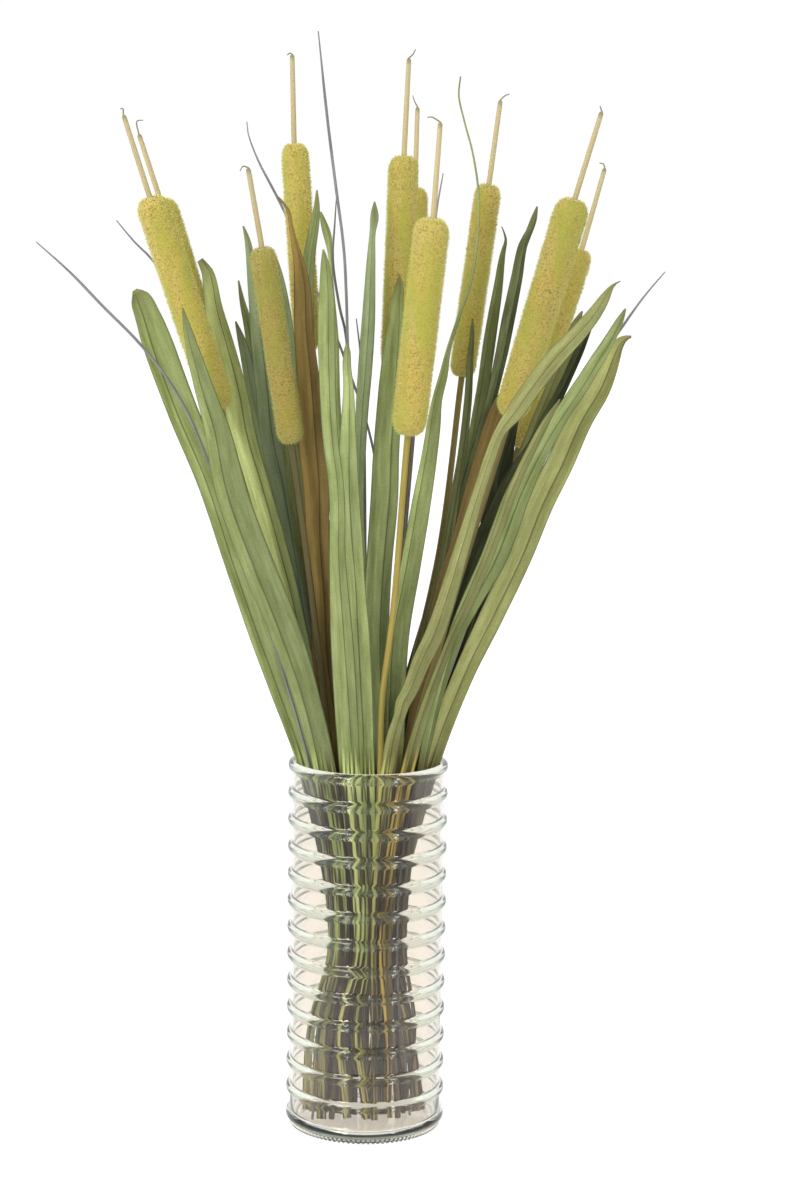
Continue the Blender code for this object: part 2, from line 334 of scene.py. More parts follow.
outline += [(VASE_BORE - FILLET + FILLET * math.sin(a), VASE_FLOOR + FILLET - FILLET * math.cos(a))
            for a in [math.radians(d) for d in range(0, 91, 15)]]
outline += [(VASE_BORE, VASE_FLOOR + FILLET + k * (TOP_HOOP_Z - VASE_FLOOR - FILLET) / 12) for k in range(1, 13)]
outline.append(outline[0])
print("vase outline points:", len(outline))

# %% Turn an outline about Z
lathe, given, result = geometry_tree("Turned", {
    "Sides": "Int", "Points": "Int", "Hoop Pitch": "Float", "Hoop Half": "Float", "Hoop Depth": "Float",
    "Top Hoop": "Float", "Wall": "Float", "Lumps": "Float", "Lump Size": "Float", "Material": "Material"})
grid = add(lathe, "GeometryNodeMeshGrid", {"Size X": 1.0, "Size Y": 1.0})
sides = maths(lathe, "ADD", given["Sides"], 1.0)
lathe.links.new(sides, grid.inputs["Vertices X"])
lathe.links.new(given["Points"], grid.inputs["Vertices Y"])
spot = xyz(lathe, position(lathe))
angle = maths(lathe, "MULTIPLY", spot["X"], math.tau)
last = maths(lathe, "SUBTRACT", given["Points"], 1.0)
share = maths(lathe, "ADD", spot["Y"], 0.5)
row = maths(lathe, "MULTIPLY", share, last)
whole = maths(lathe, "ROUND", row)
point = add(lathe, "GeometryNodeSampleIndex", {"Geometry": given["Geometry"], "Value": position(lathe),
                                               "Index": whole}, data_type="FLOAT_VECTOR", domain="POINT")
height = xyz(lathe, point.outputs[0])
from_top = maths(lathe, "SUBTRACT", height["Z"], given["Top Hoop"])
half_pitch = maths(lathe, "MULTIPLY", given["Hoop Pitch"], 0.5)
minus_half = maths(lathe, "MULTIPLY", given["Hoop Pitch"], -0.5)
to_hoop = maths(lathe, "WRAP", from_top, half_pitch, minus_half)
ratio = maths(lathe, "DIVIDE", to_hoop, given["Hoop Half"])
squared = maths(lathe, "MULTIPLY", ratio, ratio)
left = maths(lathe, "SUBTRACT", 1.0, squared, clamp=True)
round_bump = maths(lathe, "POWER", left, 0.5)
on_wall = maths(lathe, "COMPARE", height["X"], given["Wall"], 0.05 * MM)
bump = maths(lathe, "MULTIPLY", round_bump, given["Hoop Depth"])
push = maths(lathe, "MULTIPLY", bump, on_wall)
radius = maths(lathe, "ADD", height["X"], push)
cosine = maths(lathe, "COSINE", angle)
sine = maths(lathe, "SINE", angle)
x = maths(lathe, "MULTIPLY", radius, cosine)
y = maths(lathe, "MULTIPLY", radius, sine)
ring = to_vector(lathe, x, y, height["Z"])
on_hoop = maths(lathe, "MULTIPLY", round_bump, on_wall)
marked = keep(lathe, grid.outputs["Mesh"], "hoop", on_hoop)
turned = add(lathe, "GeometryNodeSetPosition", {"Geometry": marked, "Position": ring})
closed = add(lathe, "GeometryNodeMergeByDistance", {"Geometry": turned.outputs[0], "Distance": 0.01 * MM})
lump_scale = maths(lathe, "DIVIDE", 1.0, given["Lump Size"])
lumps = add(lathe, "ShaderNodeTexNoise", {"Scale": lump_scale, "Detail": 1.0})
centred = vectors(lathe, "SUBTRACT", lumps.outputs["Color"], (0.5, 0.5, 0.5))
sized = scaled(lathe, centred, given["Lumps"])
uneven = add(lathe, "GeometryNodeSetPosition", {"Geometry": closed.outputs[0], "Offset": sized})
end_tree(lathe, uneven.outputs[0], given["Material"], result)

# %% Make faces point outwards
def face_outwards(piece):
    mesh = bmesh.new()
    mesh.from_mesh(piece.data)
    bmesh.ops.remove_doubles(mesh, verts=mesh.verts, dist=0.005 * MM)
    bmesh.ops.delete(mesh, geom=[edge for edge in mesh.edges if edge.is_wire], context="EDGES")
    bmesh.ops.recalc_face_normals(mesh, faces=mesh.faces)
    mesh.to_mesh(piece.data)
    mesh.free()


# %% Make the vase
vase = grow("Vase_Glass", line_mesh("Vase_Outline", [(r, 0.0, z) for r, z in outline]), lathe, {
    "Sides": 144, "Points": len(outline), "Hoop Pitch": HOOP_PITCH * MM, "Hoop Half": HOOP_HALF * MM,
    "Hoop Depth": HOOP_DEPTH * MM, "Top Hoop": TOP_HOOP_Z * MM, "Wall": VASE_VALLEY * MM,
    "Lumps": 0.35 * MM, "Lump Size": 60 * MM, "Material": glass})
face_outwards(vase)
dress(vase, "Vase")
print("vase faces:", len(vase.data.polygons))

# %% [markdown]
# ## The ring of beads
# Round the foot runs a ring of small glass beads that keeps the hot foot of the vase off the cooling belt. They
# are pressed with the vase. A circle of points with one small ball at each gives the ring.

# %% The beads
BEADS, BEAD_RADIUS, BEAD_RING, BEAD_Z = 96, 1.35, 51.3, 1.42

beads, given, result = geometry_tree("Bead ring", {"Beads": "Int", "Bead Radius": "Float", "Ring Radius": "Float",
                                                   "Height": "Float", "Material": "Material"})
circle = add(beads, "GeometryNodeMeshCircle", {"Vertices": given["Beads"], "Radius": given["Ring Radius"]})
lift = to_vector(beads, z=given["Height"])
raised = add(beads, "GeometryNodeSetPosition", {"Geometry": circle.outputs[0], "Offset": lift})
ball = add(beads, "GeometryNodeMeshIcoSphere", {"Radius": given["Bead Radius"], "Subdivisions": 2})
smooth_ball = add(beads, "GeometryNodeSetShadeSmooth", {"Geometry": ball.outputs["Mesh"]})
placed = add(beads, "GeometryNodeInstanceOnPoints", {"Points": raised.outputs[0], "Instance": smooth_ball.outputs[0]})
real = add(beads, "GeometryNodeRealizeInstances", {"Geometry": placed.outputs[0]})
end_tree(beads, real.outputs[0], given["Material"], result, smooth=False)
ring = grow("Vase_Bead_Ring", bpy.data.meshes.new("Bead_Start"), beads, {
    "Beads": BEADS, "Bead Radius": BEAD_RADIUS * MM, "Ring Radius": BEAD_RING * MM, "Height": BEAD_Z * MM,
    "Material": glass})
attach(ring, "root")
print("bead ring faces:", len(ring.data.polygons))

# %% [markdown]
# ## Cattail heads
# A cattail head is a dense velvet of fine hairs round the stalk. The look from the side is soft and yellow-green,
# because the hairs hide each other, and from the front the brown ground shows between them as fine speckles.
# A texture alone would leave a hard rim, so the ground is a turned surface and the pile is real: thousands of
# short spikes, each with four faces, scattered on it with a fixed seed.

# %% The heads' velvet
velvet, tree, shader = new_material("Plush_Velvet")
where = add(tree, "ShaderNodeTexCoord").outputs["Object"]
pile = stored(tree, "pile")
speckle = noise(tree, where, 1 / (1.3 * MM), 2.0)
hairs = ramp(tree, stored(tree, "tint"), (0.0, "ccb868"), (1.0, "f2f09a"), (0.3, "d4da62"))
patches = noise(tree, where, 1 / (22 * MM), 2.0)
patch_range = ranged(tree, patches, 0.4, 0.65, 0.0, 0.3)
warm = blend(tree, patch_range, hairs, "d8b84c")
lengthwise = vectors(tree, "MULTIPLY", where, (1 / (9 * MM), 1 / (9 * MM), 1 / (60 * MM)))
bands = noise(tree, lengthwise, 1.0, 2.0)
band = ranged(tree, bands, 0.38, 0.6, 0.4, 0.85)
flecks = ranged(tree, speckle, 0.5, 0.64)
brown = maths(tree, "MULTIPLY", band, flecks)
flecked = blend(tree, brown, warm, "94803c")
moss = ranged(tree, bands, 0.58, 0.38, 0.0, 0.5)
mossy = blend(tree, moss, flecked, "a9b43a")
# Painted shade: the skin and the lower hairs are darkened to 0.78 of their colour, standing in for the shade deep in
# the pile. Each head's tone multiplies in.
depth = ranged(tree, pile, 0.0, 0.45, 0.78, 1.0)
painted_root_shade_and_tone = maths(tree, "MULTIPLY", depth, stored(tree, "tone"))
rooted = scaled(tree, mossy, painted_root_shade_and_tone)
# The upper hairs are blended to pale yellow. This is partly the fuzz's own paler tips and partly painted glow,
# standing in for light through the fine hairs at the rim.
pale_tips_and_glow = ranged(tree, pile, 0.45, 1.0, 0.0, 0.6)
tipped = blend(tree, pale_tips_and_glow, rooted, "eee692")
plug(shader, {"Base Color": tipped, "Roughness": 0.95, "Specular IOR Level": 0.15, "Sheen Weight": 0.8,
              "Sheen Roughness": 0.45, "Sheen Tint": linear("f6f3c4")})

# %% Scatter the pile
nap, given, result = geometry_tree("Velvet pile", {
    "Hairs Per Area": "Float", "Hair Length": "Float", "Hair Radius": "Float", "Bare Radius": "Float",
    "Lean": "Float", "Seed": "Int", "Material": "Material"})
spot = xyz(nap, position(nap))
flat = to_vector(nap, spot["X"], spot["Y"])
away = add(nap, "ShaderNodeVectorMath", {0: flat}, operation="LENGTH")
outside = maths(nap, "GREATER_THAN", away.outputs["Value"], given["Bare Radius"])
roots = add(nap, "GeometryNodeDistributePointsOnFaces", {
    "Mesh": given["Geometry"], "Selection": outside, "Density": given["Hairs Per Area"], "Seed": given["Seed"]})
shade = add(nap, "FunctionNodeRandomValue", {2: 0.0, 3: 1.0, "Seed": 3}, data_type="FLOAT")
tinted = keep(nap, roots.outputs["Points"], "tint", shade.outputs[1])
spike = add(nap, "GeometryNodeMeshCone", {"Vertices": 3, "Radius Top": 0.0, "Radius Bottom": given["Hair Radius"],
                                          "Depth": given["Hair Length"]}, fill_type="NGON")
size = add(nap, "FunctionNodeRandomValue", {2: 0.6, 3: 1.3, "Seed": 5}, data_type="FLOAT")
spike_z = xyz(nap, position(nap))["Z"]
up_share = maths(nap, "DIVIDE", spike_z, given["Hair Length"])
graded = keep(nap, spike.outputs["Mesh"], "pile", up_share)
stood = add(nap, "GeometryNodeInstanceOnPoints", {"Points": tinted, "Instance": graded,
                                                  "Rotation": roots.outputs["Rotation"], "Scale": size.outputs[1]})
minus_lean = maths(nap, "MULTIPLY", given["Lean"], -1.0)
low_lean = to_vector(nap, minus_lean, minus_lean)
high_lean = to_vector(nap, given["Lean"], given["Lean"], 3.0)
lean = add(nap, "FunctionNodeRandomValue", {0: low_lean, 1: high_lean, "Seed": 7}, data_type="FLOAT_VECTOR")
leaning = add(nap, "GeometryNodeRotateInstances", {"Instances": stood.outputs[0], "Rotation": lean.outputs[0]})
real = add(nap, "GeometryNodeRealizeInstances", {"Geometry": leaning.outputs[0]})
joined = add(nap, "GeometryNodeJoinGeometry")
nap.links.new(given["Geometry"], joined.inputs[0])
nap.links.new(real.outputs[0], joined.inputs[0])
end_tree(nap, joined.outputs[0], given["Material"], result, smooth=False)

# %% The heads
STEM_RADIUS, BORE_GAP = 2.1, 0.35
# How far the hairs stand out from the skin that they grow on, so that their tips end at the head's radius.
PILE_REACH = 1.1
HAIRS_PER_SQUARE_METRE, HAIR_LENGTH, HAIR_RADIUS, HAIR_LEAN, BARE_RING = 1.35e6, 1.5, 0.12, 0.7, 0.9

# Each cattail: head radius, place front to back, x at the mouth, then (x, z): the curled tip down to the spike's
# end, the head's top and bottom, and the bends of the stalk below it.
CATTAILS = {
    "Cattail_01": (11.4, -0.58, -33, [(-161, 693), (-159.4, 693.4), (-159, 689.6)], [(-143, 638), (-99, 502)], []),
    "Cattail_02": (11.0, -0.10, -32, [(-153, 688), (-157.2, 687.2), (-156, 679)], [(-142, 636), (-98, 495)], []),
    "Cattail_03": (9.4, -0.66, -24, [(-84.7, 655.3), (-82.6, 658.3), (-79.6, 657.5)], [(-71, 607), (-52, 481)], []),
    "Cattail_04": (9.9, 0.00, -12, [(-59.3, 731.9), (-57.6, 733.2), (-55.9, 732.6)], [(-54, 674), (-44, 538)], []),
    "Cattail_05": (10.8, 0.00, 1, [(25.7, 737), (24.2, 733.8), (21.4, 731.2)], [(19, 667), (15, 525)], []),
    "Cattail_06": (9.8, 0.75, 12, [(24.4, 710.6), (25.9, 706.4), (28, 702.6)], [(27, 646), (27, 502)], []),
    "Cattail_07": (12.2, -0.62, 8, [(33.3, 690.1), (35.9, 690.6), (41.7, 687.5)], [(38, 627), (24, 487)],
                   [(16, 369), (9, 303)]),
    "Cattail_08": (9.6, 0.06, 16, [(88.9, 709), (85.4, 707.5), (82.8, 704.9)], [(76, 649), (60, 521)], [(47, 405)]),
    "Cattail_09": (12.0, -0.50, 25, [(143.3, 699.3), (144, 697.6), (144.6, 695.9)], [(129, 640), (91, 499)],
                   [(51, 356)]),
    "Cattail_10": (9.6, 0.58, 32, [(154.6, 664.9), (157.2, 664.6), (158.5, 661.7)], [(143, 605), (101, 469)],
                   [(93, 445)]),
}

# How light a head is beside the others.
HEAD_TONES = {"Cattail_02": 0.95, "Cattail_03": 0.7, "Cattail_05": 0.95, "Cattail_06": 0.85, "Cattail_08": 0.9,
              "Cattail_09": 0.88, "Cattail_10": 0.85}


def head_outline(radius, length):
    bore = STEM_RADIUS + BORE_GAP
    cap = radius * 1.05
    turns = [math.radians(d) for d in range(0, 91, 9)]
    lower = [(bore + (radius - bore) * math.sin(a) ** 0.8, cap * (1.0 - math.cos(a))) for a in turns]
    body = [(radius, cap + (length - 2 * cap) * k / 30) for k in range(1, 30)]
    upper = [(r, length - z) for r, z in reversed(lower)]
    return lower + body + upper + [(bore, length * 0.66), (bore, length * 0.33), (bore, 0.0)]


for number, (name, (radius, layer, mouth_x, tip, ends, bends)) in enumerate(CATTAILS.items()):
    top, bottom = (Vector(place(x, z, layer)) for x, z in ends)
    shape = head_outline(radius - PILE_REACH, (top - bottom).length)
    body = grow(name + "_Head_Velvet", line_mesh(name, [(r, 0.0, z) for r, z in shape]), lathe, {
        "Sides": 40, "Points": len(shape), "Hoop Pitch": 1.0, "Hoop Half": MM, "Hoop Depth": 0.0, "Top Hoop": 0.0,
        "Wall": 0.0, "Lumps": 0.9 * MM, "Lump Size": 9 * MM, "Material": velvet})
    face_outwards(body)
    skin = body.data
    bpy.data.objects.remove(body)
    head = grow(name + "_Head_Velvet", skin, nap, {
        "Hairs Per Area": HAIRS_PER_SQUARE_METRE, "Hair Length": HAIR_LENGTH * MM, "Hair Radius": HAIR_RADIUS * MM,
        "Bare Radius": (STEM_RADIUS + BORE_GAP + BARE_RING) * MM, "Lean": HAIR_LEAN, "Seed": 11 + number,
        "Material": velvet})
    tone = head.data.attributes.new("tone", "FLOAT", "POINT")
    tone.data.foreach_set("value", [HEAD_TONES.get(name, 1.0)] * len(head.data.vertices))
    turn = (top - bottom).to_track_quat("Z", "Y").to_matrix().to_4x4()
    head.data.transform(Matrix.Translation(bottom * MM) @ turn)
    dress(head, name + "_Head")

# %% [markdown]
# ## Stalks
# The stalk is a dried reed: a round, fibrous rod, brown to ochre in the vase, pale straw above the head, and grey
# where the spike has dried to a curl. A circle swept along the stalk's line gives it, and each point of the line
# carries its thickness and how far it is from foot to tip, so that the colour can follow.

# %% The stalks' finish
# Coordinates that stretch a pattern along a bar: its grain in mm, divided by the pattern's sizes across and along.
def along_fibres(tree, across, along):
    return vectors(tree, "MULTIPLY", stored(tree, "grain", "Vector"), (1 / across, 1 / across, 1 / along))


reed, tree, shader = new_material("Dried_Reed")
paint = stored(tree, "paint")
fibres = noise(tree, along_fibres(tree, 1.3, 26.0), 1.0, 4.0, 0.65)
zones = ramp(tree, paint, (0.0, "a87c3c"), (1.0, "7d7f63"),
             (0.12, "b3a04e"), (0.4, "9c8d42"), (0.5, "b9aa7a"), (0.9, "beb086"), (0.95, "8f8b66"))
below_head = ranged(tree, paint, 0.4, 0.5, 1.0, 0.2)
stained = maths(tree, "MULTIPLY", stored(tree, "tint"), below_head)
darker = blend(tree, stained, zones, "4a4228")
streaks = ranged(tree, fibres, 0.3, 0.7, 0.86, 1.08)
fibred = scaled(tree, darker, streaks)
plug(shader, {"Base Color": fibred, "Roughness": 0.62, "Specular IOR Level": 0.35,
              "Normal": bumped(tree, fibres, 0.15, 0.15)})

# %% Sweep a round bar along a line
# The grain is laid as if each bar had this radius in mm, so that it has one size on thick and thin bars.
GRAIN_RADIUS = 2.0
sweep, given, result = geometry_tree("Swept bar", {"Sides": "Int", "Tint": "Float", "Material": "Material"})
path = add(sweep, "GeometryNodeMeshToCurve", {"Mesh": given["Geometry"]})
run = add(sweep, "GeometryNodeSplineParameter")
run_mm = maths(sweep, "MULTIPLY", run.outputs["Length"], 1 / MM)
with_run = keep(sweep, path.outputs[0], "run", run_mm)
hoop = add(sweep, "GeometryNodeCurvePrimitiveCircle", {"Resolution": given["Sides"], "Radius": 1.0})
hoop_round = keep(sweep, hoop.outputs[0], "round", position(sweep), "FLOAT_VECTOR")
tube = add(sweep, "GeometryNodeCurveToMesh", {"Curve": with_run, "Profile Curve": hoop_round,
                                              "Scale": named(sweep, "thick"), "Fill Caps": True})
round_at = xyz(sweep, named(sweep, "round", "FLOAT_VECTOR"))
wide_x = maths(sweep, "MULTIPLY", round_at["X"], GRAIN_RADIUS)
wide_y = maths(sweep, "MULTIPLY", round_at["Y"], GRAIN_RADIUS)
grain = to_vector(sweep, wide_x, wide_y, named(sweep, "run"))
grained = keep(sweep, tube.outputs[0], "grain", grain, "FLOAT_VECTOR")
tinted = keep(sweep, grained, "tint", given["Tint"])
end_tree(sweep, tinted, given["Material"], result)

# %% The stalks
SPIKE_RADIUS, TIP_RADIUS = 1.8, 0.3

# How dark a stalk is below its head, from 0 to 1.
STALK_TINT = {"Cattail_01": 0.6, "Cattail_02": 0.5, "Cattail_03": 0.9, "Cattail_04": 0.7, "Cattail_05": 0.5,
              "Cattail_06": 0.6, "Cattail_08": 0.55, "Cattail_09": 0.7, "Cattail_10": 0.7}


# The three places that every piece passes inside the vase: its foot, the bundle's waist and the mouth.
def in_vase(mouth_x, layer):
    return [place(mouth_x * spread(z), z, layer) for z in (BUNDLE_FOOT_Z, BUNDLE_WAIST_Z, MOUTH_Z)]


for name, (radius, layer, mouth_x, tip, ends, bends) in CATTAILS.items():
    top, bottom = (np.array(place(x, z, layer)) for x, z in ends)
    axis = (top - bottom) / np.linalg.norm(top - bottom)
    below = [(*p, STEM_RADIUS, s) for p, s in zip(in_vase(mouth_x, layer), (0.0, 0.12, 0.25))]
    below += [(*place(x, z, layer), STEM_RADIUS, 0.35) for x, z in reversed(bends)]
    sleeve = [(*(bottom - axis * 4), STEM_RADIUS, 0.4), (*(bottom + axis * 30), STEM_RADIUS, 0.42),
              (*(top - axis * 30), STEM_RADIUS, 0.48), (*(top + axis * 4), SPIKE_RADIUS, 0.5)]
    end, bend, point = (np.array(place(x, z, layer)) for x, z in reversed(tip))
    reach = np.linalg.norm(end - sleeve[-1][:3])
    up_spike = (end - sleeve[-1][:3]) / reach
    spike = [(*(end - up_spike * back), r, p) for back, r, p in
             ((0.85 * reach, SPIKE_RADIUS, 0.6), (5, 1.65, 0.9), (1.4, 1.5, 0.95), (0.4, 0.9, 0.97), (0, 0.5, 1.0))]
    curl = through([spike[-1], (*bend, 0.45, 1.0), (*point, TIP_RADIUS, 1.0)], 0.8)
    points = np.vstack([through(below + sleeve, 6.0), spike, curl[1:]])
    stalk = grow(name + "_Stalk", line_mesh(name + "_Line", points[:, :3], thick=points[:, 3] * MM,
                                            paint=points[:, 4]), sweep,
                 {"Sides": 12, "Tint": STALK_TINT.get(name, 0.1), "Material": reed})
    face_outwards(stalk)
    dress(stalk, name + "_Stem")
print("stalks:", len(CATTAILS))

# %% [markdown]
# ## Leaves
# A cattail leaf is a long strap with a crease down its middle. Dried and dyed, it turns matt like paper, with fine
# veins along it, darker thin edges and tips that curl. Each blade is a grid laid along its line: the line carries
# the half width and the side direction, the grid is folded at the middle and waved a little, and Solidify gives it
# the thickness of a real leaf.

# %% The blades' finishes
# The darker colour serves the edges and also the painted shade line along each crease.
BLADES = {  # colour: the main green or brown, the lighter patches, the darker veins and edges
    "green": ("7c8851", "96a16b", "3a4424"),
    "olive": ("7e8650", "969d68", "383f20"),
    "blue": ("78865c", "909c74", "37452f"),
    "pale": ("8a8c54", "a0a36a", "45471f"),
    "brown": ("7a6838", "927a44", "352a16"),
    # dark: leaves that stand in deep shade among the others, painted nearly black as shade.
    "dark": ("34371f", "4e5436", "12130b"),
}


def blade_finish(colour, main, light, dark, shade):
    made, tree, shader = new_material("Dried_Leaf_" + colour.capitalize())
    parts = xyz(tree, stored(tree, "blade", "Vector"))
    shift = maths(tree, "MULTIPLY", stored(tree, "tint"), 40.0)
    noises = []
    for across, along, detail in ((0.5, 40.0, 3.0), (5.0, 30.0, 2.0), (2.4, 90.0, 2.0), (0.9, 1.3, 3.0)):
        x = maths(tree, "MULTIPLY", parts["X"], 1 / across)
        y = maths(tree, "MULTIPLY", parts["Y"], 1 / along)
        noises.append(noise(tree, to_vector(tree, x, y, shift), 1.0, detail, 0.6))
    veins, patches, bands, mottle = noises
    patchy = ranged(tree, patches, 0.3, 0.7)
    body = blend(tree, patchy, main, light)
    tone_and_fold_shade = stored(tree, "tone")
    # Bands, veins and mottle vary the leaf's own tone. The last factor paints one side of the crease 1.06 times
    # lighter and the other side in shade.
    for value, *limits in ((bands, 0.35, 0.65, 0.98, 1.16), (veins, 0.3, 0.7, 0.9, 1.06),
                           (mottle, 0.3, 0.7, 0.88, 1.1), (parts["Z"], -0.05, 0.05, 1.06, shade)):
        tone_and_fold_shade = maths(tree, "MULTIPLY", tone_and_fold_shade, ranged(tree, value, *limits))
    up_z = xyz(tree, add(tree, "ShaderNodeTexCoord").outputs["Object"])["Z"]
    # Painted shade: from 0.5 m down towards the mouth each leaf darkens to its stored depth share. The leaves behind
    # others are darkened most.
    deep = ranged(tree, up_z, 0.5, 0.28, 1.0, stored(tree, "depth"))
    tone_under_painted_shade = maths(tree, "MULTIPLY", tone_and_fold_shade, deep)
    toned = scaled(tree, body, tone_under_painted_shade)
    # The thin edges are darkened in the leaf's own colour. The dark line along the crease is painted shade in the
    # fold.
    edge = ranged(tree, stored(tree, "rim"), 0.9, 1.0, 0.0, 0.6)
    beside = maths(tree, "ABSOLUTE", parts["Z"])
    painted_crease_shade = ranged(tree, beside, 0.02, 0.09, 0.7, 0.0)
    edges_and_crease_shade = maths(tree, "MAXIMUM", edge, painted_crease_shade)
    lined = blend(tree, edges_and_crease_shade, toned, dark)
    dry = ranged(tree, stored(tree, "tip"), 22.0, 2.0, 0.0, 0.55)
    dried = blend(tree, dry, lined, "6e6a44")
    low = ranged(tree, up_z, 0.272, 0.246, 0.0, 0.95)
    stripes = ranged(tree, bands, 0.45, 0.57)
    # Painted light: inside the vase the colour is raised 1.5 times, standing in for the lamp light that the glass
    # keeps from the leaves.
    painted_light_in_vase = maths(tree, "MULTIPLY", tone_and_fold_shade, 1.5)
    down = ranged(tree, up_z, 0.16, 0.02, 0.0, 0.6)
    # Down to the foot the colour goes to the stored foot colour, which holds painted shade for the leaves behind, and
    # browns near the floor.
    browned = blend(tree, down, stored(tree, "foot", "Color"), "8a6c2e")
    footed = scaled(tree, browned, painted_light_in_vase)
    striped = blend(tree, stripes, "3e2c12", footed)
    aged = blend(tree, low, dried, striped)
    fine = bumped(tree, veins, 0.3, 0.2)
    plug(shader, {"Base Color": aged, "Roughness": 0.72, "Specular IOR Level": 0.2,
                  "Normal": bumped(tree, bands, 0.3, 0.8, Normal=fine)})
    return made


# The last value is how dark the painted shade on one side of each fold is. The dark leaves get more of it.
blade_finishes = {colour: blade_finish(colour, *codes, 0.45 if colour == "dark" else 0.76)
                   for colour, codes in BLADES.items()}

# %% Lay a blade along its line
# The Depth input is the share of colour that a leaf keeps under the painted shade low down.
blade, given, result = geometry_tree("Leaf blade", {
    "Rows": "Int", "Columns": "Int", "Fold": "Float", "Wave": "Float", "Wave Size": "Float", "Pleat": "Float",
    "Crease": "Float", "Tint": "Float", "Tone": "Float", "Depth": "Float", "Foot Colour And Shade": "Vector",
    "Material": "Material"})
path = add(blade, "GeometryNodeMeshToCurve", {"Mesh": given["Geometry"]})
grid = add(blade, "GeometryNodeMeshGrid", {"Size X": 2.0, "Size Y": 1.0, "Vertices X": given["Columns"],
                                           "Vertices Y": given["Rows"]})
spot = xyz(blade, position(blade))
share = maths(blade, "ADD", spot["Y"], 0.5)
taken = {}
for label, kind in (("half", "FLOAT"), ("side", "FLOAT_VECTOR")):
    taken[label] = add(blade, "GeometryNodeSampleCurve", {
        "Curves": path.outputs[0], "Value": named(blade, label, kind), "Factor": share}, data_type=kind)
line = taken["half"]
across = maths(blade, "MULTIPLY", spot["X"], line.outputs["Value"])
side = vectors(blade, "NORMALIZE", taken["side"].outputs["Value"])
sideways = scaled(blade, side, across)
facing = vectors(blade, "CROSS_PRODUCT", line.outputs["Tangent"], side)
wander = noise(blade, to_vector(blade, y=spot["Y"], z=given["Tint"]), 3.0, 1.0)
crease_at = maths(blade, "MULTIPLY_ADD", wander, 0.5, given["Crease"])
from_crease = maths(blade, "SUBTRACT", spot["X"], crease_at)
out_share = maths(blade, "ABSOLUTE", from_crease)
rim_share = maths(blade, "ABSOLUTE", spot["X"])
inward = maths(blade, "SUBTRACT", 1.0, out_share)
deep = maths(blade, "MULTIPLY", inward, given["Fold"])
folded = maths(blade, "MULTIPLY", deep, line.outputs["Value"])
length = add(blade, "GeometryNodeCurveLength", {"Curve": path.outputs[0]})
along = maths(blade, "MULTIPLY", share, length.outputs[0])
wave_scale = maths(blade, "DIVIDE", 1.0, given["Wave Size"])
waves = noise(blade, to_vector(blade, across, along, given["Tint"]), wave_scale, 2.0)
centred = maths(blade, "SUBTRACT", waves, 0.5)
waved = maths(blade, "MULTIPLY", centred, given["Wave"])
drift = noise(blade, to_vector(blade, y=along, z=given["Tint"]), 1 / (140 * MM), 1.0)
pleat_at = maths(blade, "MULTIPLY_ADD", spot["X"], 0.45, drift)
pleats = maths(blade, "PINGPONG", pleat_at, 0.24)
pleated = maths(blade, "MULTIPLY", pleats, given["Pleat"])
narrow = maths(blade, "MULTIPLY", pleated, line.outputs["Value"])
shaped = maths(blade, "ADD", folded, waved)
lift = maths(blade, "ADD", shaped, narrow)
forward = scaled(blade, facing, lift)
spine = vectors(blade, "ADD", line.outputs["Position"], sideways)
final = vectors(blade, "ADD", spine, forward)
across_mm = maths(blade, "MULTIPLY", across, 1 / MM)
along_mm = maths(blade, "MULTIPLY", along, 1 / MM)
blade_at = to_vector(blade, across_mm, along_mm, from_crease)
to_tip = maths(blade, "SUBTRACT", length.outputs[0], along)
to_tip_mm = maths(blade, "MULTIPLY", to_tip, 1 / MM)
sheet = grid.outputs["Mesh"]
for label, value, kind in (("blade", blade_at, "FLOAT_VECTOR"), ("tip", to_tip_mm, "FLOAT"),
                           ("tint", given["Tint"], "FLOAT"), ("tone", given["Tone"], "FLOAT"),
                           ("depth", given["Depth"], "FLOAT"), ("rim", rim_share, "FLOAT"),
                           ("foot", given["Foot Colour And Shade"], "FLOAT_VECTOR")):
    sheet = keep(blade, sheet, label, value, kind)
laid = add(blade, "GeometryNodeSetPosition", {"Geometry": sheet, "Position": final})
end_tree(blade, laid.outputs[0], given["Material"], result)
